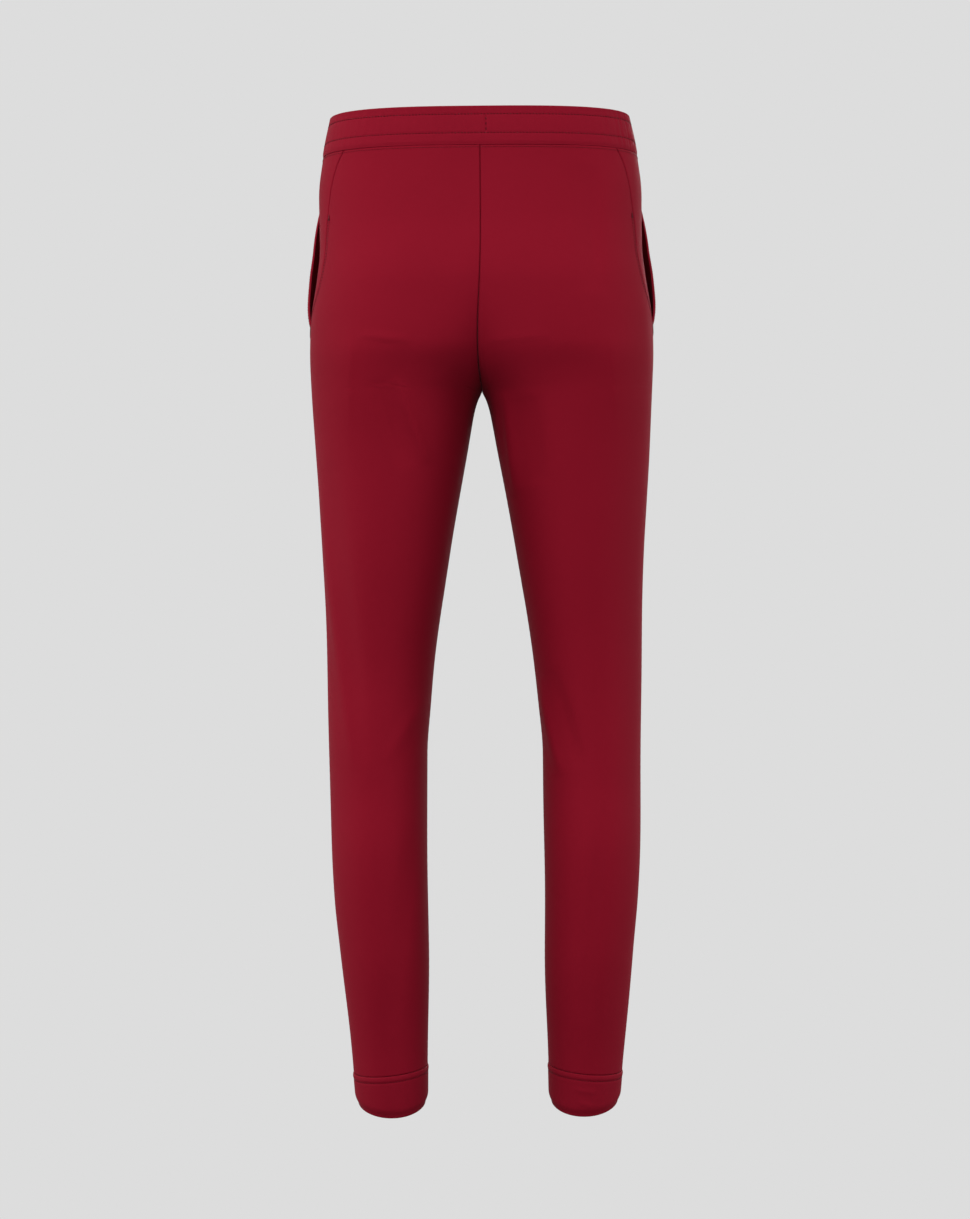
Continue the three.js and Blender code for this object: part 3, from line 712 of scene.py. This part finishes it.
def cut_panel(side, start, end, levels, shares, top=None, bottom=None, lift=None, sewn=(1, 1, 0.45, 0.6)):
    """Outer and inner faces of a panel, their normals and its grain. The grid lies between two
    edge angles, each a function of depth; the first and last rows follow the seams above and
    below. sewn says how deeply each edge rolls in: start, end, top, bottom."""
    depth = levels[:, None] + 0 * shares
    if top is not None:
        row = start(levels[:1]) + (end(levels[:1]) - start(levels[:1])) * shares
        fade = 1 - ease((levels - levels[0]) / TOP_FADE)
        depth = depth + fade[:, None] * (top(row) - levels[0])
    if bottom is not None:
        row = start(levels[-1:]) + (end(levels[-1:]) - start(levels[-1:])) * shares
        fade = 1 - ease((levels[-1] - levels) / BOTTOM_FADE)
        depth = depth + fade[:, None] * (bottom(row) - levels[-1])
    angle = start(depth) + (end(depth) - start(depth)) * shares
    points, normals = form(angle, depth)
    rise = drape(points * (side, 1, 1), normals * (side, 1, 1))
    if lift is not None:
        rise = rise + lift(angle, depth)
    from_start, from_end = edge_runs(points)
    down = np.linalg.norm(np.diff(points, axis=0), axis=-1)
    from_top = np.concatenate([np.zeros((1, len(shares))), np.cumsum(down, axis=0)])
    from_bottom = from_top[-1:] - from_top
    pucker = 0.0
    sink = 0.0
    for distance, depth_sewn in zip((from_start, from_end, from_top, from_bottom), sewn):
        if depth_sewn:
            sink = np.maximum(sink, depth_sewn * rolled(distance))
            run = from_top if distance is from_start or distance is from_end else from_start
            strength = 0.10 * (0.6 + 0.4 * np.sin(run / 19)) * np.exp(-distance / 5)
            pucker = pucker + strength * np.sin(run / 1.25)
    out_lift = PANEL_OUT + rise + pucker - sink
    in_lift = PANEL_IN + rise + 0.5 * pucker - 0.8 * sink
    outer = points + normals * out_lift[..., None]
    inner = points + normals * in_lift[..., None]
    outward = bent_normals(points, normals, out_lift) * (side, 1, 1)
    inward = -bent_normals(points, normals, in_lift) * (side, 1, 1)
    # Near the centre seam both faces are drawn to the centre plane, so that the legs' panels meet.
    x = points[..., 0]
    joined = (x < 5) & (depth < RISE + 6)
    seam_x = x[:, :1] if x[0, 0] < x[0, -1] else x[:, -1:]
    near = ease(np.where(joined, (x - seam_x) / 5, 1))
    shift = np.clip(seam_x - SEAM_HALF_GAP, 0, 0.4) * (1 - near)
    for face in (outer, inner):
        drawn = x + (face[..., 0] - x) * near - shift
        drawn = np.where(joined, np.maximum(drawn, SEAM_HALF_GAP), drawn)
        face[..., 0] = drawn * side + seam_bow(x, normals, depth)
    middle = from_start[:, shares.size // 2][:, None]
    fall = from_top.mean(1, keepdims=True) + 0 * from_start
    return outer, inner, outward, inward, np.stack([from_start - middle, fall], -1)


def shell(name, outer, inner, outward, inward, grain, rows=slice(None), finish=jersey):
    """A closed cloth of two faces and a rim, with the shading normals of the whole panel even
    where it is cut in two lengths."""
    cloth = outer, inner, outward, inward, grain
    outer, inner, outward, inward, grain = (array[rows] for array in cloth)
    count, width = outer.shape[:2]
    front = np.arange(count * width).reshape(count, width)
    back = front + count * width
    loop = np.concatenate([front[0], front[1:, -1], front[-1, -2::-1], front[-2:0:-1, 0]])
    ahead = np.roll(loop, -1)
    rim = np.stack([loop, ahead, ahead + count * width, loop + count * width], -1)
    return sew(
        name,
        np.concatenate([outer, inner]),
        np.concatenate([quads(front), quads(back)[:, ::-1], rim]),
        normals=np.concatenate([outward, inward]),
        uv=np.concatenate([grain, grain]),
        finish=finish,
    )


top_rows = BAND_HEIGHT + (MEETING - BAND_HEIGHT) * spread(160, 0.010)
top_rows = np.concatenate([top_rows[:-7], [MEETING]])
low_rows = MEETING + (CUFF_SEAM - MEETING) * spread(176, 0.009)[7:]
panel_levels = np.concatenate([top_rows, low_rows])
upper_part = slice(0, len(top_rows))
lower_part = slice(len(top_rows) - 1, len(panel_levels))
panel_grid = panel_levels, spread(88, 0.016)


def front_lift(angle, depth):
    return mouth_lift(turn_of(angle, depth), depth)


def past_front(edge):
    """A centre edge seen from the front: the same angle taken from a full turn."""
    return lambda depth: 2 * np.pi - edge(depth)


for side, way in SIDES:
    halves = {
        "back": cut_panel(way, centre_edge, side_seam, *panel_grid, waist_seam, cuff_seam),
        "front": cut_panel(
            way, front_side_edge, past_front(centre_edge), *panel_grid, waist_seam, cuff_seam, front_lift
        ),
    }
    for half, cloth in halves.items():
        upper = shell(f"{side}_{half}_panel_upper", *cloth, upper_part)
        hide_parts(f"{side}_{half}_seat_panel", f"{side}_{half}_thigh_panel")
        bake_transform(upper)
        lower = shell(f"{side}_{half}_panel_lower", *cloth, lower_part)
        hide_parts(f"{side}_{half}_thigh_panel", f"{side}_{half}_shin_panel")
        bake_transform(lower)


def rise_overlock(way):
    """The overlocked edge inside the centre seam, at the back (-1) or the front (1): a flat oval
    swept down the seam inside the cloth, whose width ripples once for each loop of thread."""
    edge = centre_edge if way < 0 else past_front(centre_edge)
    top = waist_seam(edge(np.array([BAND_HEIGHT])))[0] + 1.2
    depth = np.arange(top, 236, 0.5)
    points, normals = form(edge(depth), depth)
    inside = PANEL_IN + drape(points, normals) - 2.1
    bow = seam_bow(points[:, 0], normals, depth)
    normals = normals * (0, 1, 1)
    normals /= np.linalg.norm(normals, axis=1, keepdims=True)
    line = points * (0, 1, 1) + normals * inside[:, None]
    line[:, 0] = bow
    around = np.arange(8) * np.pi / 4
    wide = (2.7 + 0.25 * np.cos(depth * 2 * np.pi / 2.5))[:, None] * np.cos(around)
    ring = line[:, None] + 0.4 * np.sin(around)[:, None] * normals[:, None]
    ring[..., 0] += wide
    return ring, tube_cells(len(ring), 8)


for end, way in (("back", -1), ("front", 1)):
    seam = sew(f"{end}_rise_overlock", *rise_overlock(way), finish=thread)
    dress(seam, "thread", "seat")

# ---- hip yokes and side pockets -------------------------------------------------------------
# A yoke fills the hip between the side seam and the slanted mouth and runs on under the front
# panel as a facing. The front panel's edge is turned in and sewn twice; a bar tack locks each end.

FACING_TURN = 17.0
FACING_INSET = 3.0
HEM_WIDTH = 0.19
UPPER_TACK = MOUTH_TOP - 3.0
LOWER_TACK = MOUTH_BOTTOM + 4.0
STRIP_TOP = 101.0


def in_mouth(depth):
    return np.minimum(depth - MOUTH_TOP, MOUTH_BOTTOM - depth) / 8


def yoke_edge(depth):
    """The hidden edge of the facing: 17 degrees past the mouth, and 3 at its two ends."""
    reach = 3 + (FACING_TURN - 3) * np.clip((in_mouth(depth) - 1) / 2, 0, 1)
    return angle_of(mouth_turn(depth) + reach, depth)


def yoke_lift(angle, depth):
    """Steps in where the yoke goes under the front panel, more in the open part of the mouth, and
    is drawn in a little across the whole yoke where the mouth hangs open."""
    under = ease((angle - front_side_edge(depth) + 0.055) / 0.055)
    seam, mouth = side_seam(depth), front_side_edge(depth)
    drawn = 2.6 * np.sin(np.pi * np.clip((depth - 60) / 150, 0, 1))
    drawn = drawn * ease((angle - seam) / np.maximum(mouth - seam, 0.05))
    return -under * (1.5 + (FACING_INSET - 1.5) * np.clip(in_mouth(depth), 0, 1)) - drawn


yoke_levels = BAND_HEIGHT + (MOUTH_BOTTOM + 6 - BAND_HEIGHT) * spread(64, 0.026)
yoke_shares = spread(38, 0.04)


def hem_start(depth):
    return front_side_edge(depth) + 0.002


def hem_end(depth):
    return front_side_edge(depth) + HEM_WIDTH


def hem_lift(angle, depth):
    """The turned hem lies inside the front panel, its own thickness further in."""
    return front_lift(angle, depth) - 1.05


hem_levels = MOUTH_TOP + 2 + (MOUTH_BOTTOM - 10 - MOUTH_TOP) * spread(50, 0.02)


def panel_line(way, angle, depth, lift, off):
    """Points and normals along a line on a panel's outer face."""
    points, normals = form(angle, depth)
    placed, facing = points * (way, 1, 1), normals * (way, 1, 1)
    rise = PANEL_OUT + off + drape(placed, facing) + lift(angle, depth)
    return placed + facing * rise[:, None], facing


def flush(angle, depth):
    return 0 * depth


def bar_tack(way, angle, depth, lift, length, width):
    """A bar tack: a flat bean of thread along the cloth, its height rippling once for each of the
    stitches that cross it."""
    depths = np.array([depth, depth + 1.0])
    (middle, below), (out, _) = panel_line(way, np.full(2, angle), depths, lift, 0.15)
    down = below - middle
    down -= out * (down @ out)
    down /= np.linalg.norm(down)
    wide = np.cross(down, out)
    t, round_bar = np.meshgrid(np.linspace(-1, 1, 85), np.arange(12) * np.pi / 6, indexing="ij")
    full = np.maximum(1 - np.abs(t) ** 6, 0.0) ** 0.5 * 0.98 + 0.02
    ripple = 1 + 0.12 * np.cos(t * 14 * 2 * np.pi)
    across = width / 2 * full * ripple * np.cos(round_bar)
    high = 0.42 * full * ripple * np.sin(round_bar)
    points = middle + down * (t * length / 2)[..., None]
    points = points + wide * across[..., None] + out * high[..., None]
    return points, tube_cells(85, 12)


for side, way in SIDES:
    yoke = shell(f"{side}_hip_yoke_cloth", *cut_panel(
        way, side_seam, yoke_edge, yoke_levels, yoke_shares, waist_seam, None, yoke_lift, (1, 0, 0.6, 0)
    ))
    dress(yoke, "jersey", "seat", f"{side}_hip_yoke")
    hem = shell(f"{side}_mouth_hem", *cut_panel(
        way, hem_start, hem_end, hem_levels, spread(10, 0.05), None, None, hem_lift, (0, 0, 0, 0)
    ))
    dress(hem, "jersey", "seat")
    down = np.linspace(MOUTH_TOP - 2, MOUTH_BOTTOM, 120)
    mouth = front_side_edge(down)
    rows = [panel_line(way, mouth + inset, down, front_lift, 0.02) for inset in (0.022, 0.085)]
    strip = np.linspace(STRIP_TOP, 218, 90)
    rows += [panel_line(way, side_seam(strip) - inset, strip, flush, 0.02) for inset in (0.018, 0.042)]
    sew_stitches(f"{side}_pocket_stitching", rows, "seat")
    marks = {
        "upper": bar_tack(way, front_side_edge(UPPER_TACK) + 0.05, UPPER_TACK, front_lift, 10, 2.2),
        "lower": bar_tack(way, front_side_edge(LOWER_TACK) + 0.03, LOWER_TACK, front_lift, 10, 2.2),
    }
    for end, (points, faces) in marks.items():
        bar = sew(f"{side}_{end}_tack_thread", points, faces, finish=thread)
        dress(bar, "thread", "seat", f"{side}_{end}_bar_tack")
    points, faces = bar_tack(way, side_seam(STRIP_TOP) - 0.03, STRIP_TOP, flush, 6, 1.8)
    dress(sew(f"{side}_strip_tack", points, faces, finish=thread), "thread", "seat")

# ---- pocket bags ----------------------------------------------------------------------------
# A flat pouch of lighter jersey hangs behind each front panel, open along the edge that meets the
# facing and sewn round its other three.

BAG_TOP = 60.0
BAG_BOTTOM = 266.0
pocketing = knit(
    "pocketing", pale=(0.115, 0.0035, 0.0115, 1), deep=(0.085, 0.0024, 0.0085, 1), wale=0.7
)


def bag_cloth(way):
    """Outer and inner faces of the pouch: one cloth that runs down the outer ply, round the front
    edge and back along the inner ply. The plies part as the root of an eased share of the distance
    from the three sewn edges."""
    share = np.linspace(0, 1, 90)[None, :]
    fall = np.linspace(0, 1, 70)[:, None]
    folded = 1 - np.abs(2 * share - 1)
    depth = BAG_TOP + (BAG_BOTTOM - BAG_TOP) * fall + 0 * share
    round_bottom = np.sqrt(np.maximum(1 - np.clip((fall - 0.72) / 0.28, 0, 1) ** 2.4, 0.02))
    turn = mouth_turn(depth) + FACING_TURN + 1.5 + 40 * (1 - 0.2 * fall) * round_bottom * folded
    points, normals = form(angle_of(turn, depth), depth)
    full = np.minimum(1, 3 * (1 - folded)) * np.minimum(1, 3 * (1 - fall))
    full = full * np.minimum(1, 6 * fall + 0.1)
    thick = 1.9 + 9 * ease(full) ** 0.5
    crease = 0.35 * np.sin(turn / 2.1 + fall * 5) * np.sin(fall * 9)
    inset = np.where(share <= 0.5, 2.3, 2.3 + thick) + crease * (share > 0.5)
    sheet = points - normals * inset[..., None]
    sheet = sheet * (way, 1, 1)
    off = grid_normals(sheet)
    grain = np.stack([share * 140 + 0 * fall, depth], -1)
    return sheet + 0.3 * off, sheet - 0.3 * off, off, -off, grain


for side, way in SIDES:
    bag = shell(f"{side}_pocket_bag_cloth", *bag_cloth(way), finish=pocketing)
    dress(bag, "pocketing", "seat", f"{side}_pocket_bag")

# ---- cuffs ----------------------------------------------------------------------------------
# Each leg ends in a plain band of doubled jersey, folded at the hem and sewn on with a twin row.
# The hem is lower at the back, so its corners look rounded from behind.

CUFF_OUT = 1.0
CUFF_IN = -1.2
HEM_RISE = 25.0
TWIN_DROP = 6.0
cuff_jersey = knit("cuff_jersey", pale=(0.226, 0.0044, 0.0165, 1), deep=(0.184, 0.0028, 0.0120, 1))


def hem_depth(angle):
    """Depth of the hem: lowest behind, rising to the front a little faster at first."""
    _, _, middle, half, _ = section(LENGTH)
    points = form(angle, np.full_like(angle, LENGTH))[0]
    share = np.clip((points[..., 1] - middle) / half / 2 + 0.5, 0, 1)
    return LENGTH - HEM_RISE * (1 - (1 - share) ** 1.2)


def hem_draw(height):
    """How far the cuff draws in towards its fold, by the height above the hem."""
    return -2.6 * (1 - ease(height / 12)) ** 2


def cuff_lift(below, height):
    """How far the cuff's face stands out at a distance below its seam: rolled in at the seam, a
    padded ridge over the seam allowance, a groove at the twin row, drawn in at the hem."""
    ridge = 0.35 * np.exp(-(((below - TWIN_DROP / 2 - 0.2) / 1.9) ** 2))
    groove = -0.45 * np.exp(-(((below - TWIN_DROP) / 1.1) ** 2))
    return ridge + groove - rolled(below, 1.4, 0.7) + hem_draw(height)


def twin_lift(angle, depth):
    """How far the bottom of the twin row's groove stands out past a panel's face."""
    return CUFF_OUT - PANEL_OUT + cuff_lift(TWIN_DROP, LENGTH - CUFF_SEAM - TWIN_DROP) + 0 * depth


cuff_columns = 220
cuff_angles = 2 * np.pi * np.arange(cuff_columns) / cuff_columns
cuff_shares = np.concatenate([np.linspace(0, 0.26, 22)[:-1], np.linspace(0.26, 1, 22)])
turn_over = np.radians(np.linspace(20, 160, 7))
cuff_middle = (CUFF_OUT + CUFF_IN) / 2
cuff_half = (CUFF_OUT - CUFF_IN) / 2
turned_offs = cuff_middle + cuff_half * np.cos(turn_over)
cuff_profile = np.concatenate([
    np.stack([np.full(43, CUFF_OUT), cuff_shares, np.ones(43)], -1),
    np.stack([turned_offs, 1 + 0.016 * np.sin(turn_over), np.zeros(7)], -1),
    np.stack([np.full(16, CUFF_IN), np.linspace(0.995, 0, 16), np.zeros(16)], -1),
])


def cuff_grid(way, offs, shares, faces):
    """Points of the cuff: from its seam down to the hem at each angle, off the form's surface."""
    angle = cuff_angles[None, :] + 0 * shares
    high, low = cuff_seam(angle) + 0.1, hem_depth(angle) - 1.0
    depth = high + (low - high) * shares
    points, normals = form(angle, np.minimum(depth, LENGTH))
    points[..., 2] = -depth
    below, height = depth - high, np.maximum(low - depth, 0)
    rise = offs + np.where(faces > 0, cuff_lift(below, height), hem_draw(height))
    placed, facing = points * (way, 1, 1), normals * (way, 1, 1)
    rise = rise + drape(placed, facing)
    return placed + facing * rise[..., None], facing


for side, way in SIDES:
    offs, shares, faces = (column[:, None] for column in cuff_profile.T)
    points, facing = cuff_grid(way, offs, shares, faces)
    fall = shares * 44 + 50 * (faces == 0)
    grain = np.stack(np.broadcast_arrays(cuff_angles[None, :] * 38, fall), -1)
    cuff = sew_ring(f"{side}_cuff_band", points, uv=grain, finish=cuff_jersey)
    dress(cuff, "cuff", f"{side}_shin", f"{side}_cuff")
    angle = np.linspace(0, 2 * np.pi, 300)
    row = panel_line(way, angle, cuff_seam(angle) + TWIN_DROP, twin_lift, 0.1)
    sew_stitches(f"{side}_cuff_stitching", [row], f"{side}_shin")

# ---- seam topstitching ----------------------------------------------------------------------
# One row holds the waistband's seam down on the panels.

rows = []
for way in (1, -1):
    angle = np.linspace(np.pi / 2 + 0.004, 3 * np.pi / 2 - 0.004, 420)
    seam = form(angle, np.full(420, BAND_HEIGHT))[0][:, 1] * BAND_TILT + BAND_HEIGHT + 2.6
    rows.append(panel_line(way, angle, seam, flush, 0.02))
sew_stitches("waist_seam_stitching", rows, "seat")

# ---- studio ---------------------------------------------------------------------------------
# A pale floor with an even pale room round it, a soft light from the upper left, weaker ones from
# the right and from low behind the wearer, one at either side and one from in front. The camera
# stands behind the wearer, level with the middle of the pants.

PALE = 0.723
CAMERA_AWAY = 5.5
SEEN_HEIGHT = 1.219


def seen_or_lit(tree, seen, lit, output):
    """Shows one plain brightness and lights the cloth with another, by the light path."""
    start = Dye(tree)
    path = start.make("ShaderNodeLightPath", {})
    shown = start.make("ShaderNodeEmission", {"Color": (seen, seen, seen, 1)})
    given = start.make("ShaderNodeEmission", {"Color": lit})
    start.make("ShaderNodeMixShader", {0: path, 1: given, 2: shown}).feed(output, "Surface")


def floor():
    """A level disc a little below the hems: 96 points round a circle."""
    angle = np.arange(96) * np.pi / 48
    rim = np.stack([40 * np.cos(angle), 40 * np.sin(angle), np.full(96, -1.06)], -1)
    mesh = bpy.data.meshes.new("floor")
    mesh.from_pydata(rim.tolist(), [], [list(range(96))])
    material = bpy.data.materials.new("pale_floor")
    material.use_nodes = True
    tree = material.node_tree
    tree.nodes.clear()
    seen_or_lit(tree, PALE, (0.22, 0.22, 0.22, 1), tree.nodes.new("ShaderNodeOutputMaterial"))
    mesh.materials.append(material)
    new_object("floor", mesh)


floor()
world = bpy.data.worlds.new("studio")
bpy.context.scene.world = world
world.use_nodes = True
room = world.node_tree
room.nodes.clear()
high = Dye(room).make("ShaderNodeTexCoord", {}, out=0)
high = high.part(2) * 0.5 + 0.5
sky = high.blend((0.36, 0.36, 0.36, 1), (0.98, 0.98, 0.98, 1))
seen_or_lit(room, PALE, sky, room.nodes.new("ShaderNodeOutputWorld"))
bpy.context.scene.view_settings.view_transform = "Standard"


def softbox(name, place, aim, size, power):
    """A square soft light at a place, turned to face a point."""
    lamp = bpy.data.lights.new(name, "AREA")
    lamp.shape = "SQUARE"
    lamp.size = size
    lamp.energy = power
    light = new_object(name, lamp)
    light.location = place
    way = np.array(aim) - np.array(place)
    light.rotation_euler = (
        math.atan2(math.hypot(way[0], way[1]), -way[2]),
        0,
        math.atan2(-way[0], way[1]),
    )


softbox("key", (-1.0, -2.0, 1.0), (0, 0, -0.2), 0.9, 25)
softbox("fill", (1.9, -2.2, 0.1), (0, 0, -0.5), 1.4, 9)
softbox("low", (-0.3, -3.0, -0.8), (0, 0, -0.35), 1.8, 13)
softbox("left_edge", (-2.4, 0.3, 0.0), (0, 0, -0.5), 1.6, 24)
softbox("right_edge", (2.4, 0.3, 0.0), (0, 0, -0.5), 1.6, 16)
softbox("front", (0.6, 2.6, 0.9), (0, 0, -0.4), 1.4, 45)

camera = new_object("camera", bpy.data.cameras.new("camera"))
camera.location = (0.001, -CAMERA_AWAY, -0.489)
camera.rotation_euler = (math.pi / 2, 0.0087, 0)
camera.data.sensor_width = 36
camera.data.lens = 36 * CAMERA_AWAY / SEEN_HEIGHT
bpy.context.scene.camera = camera
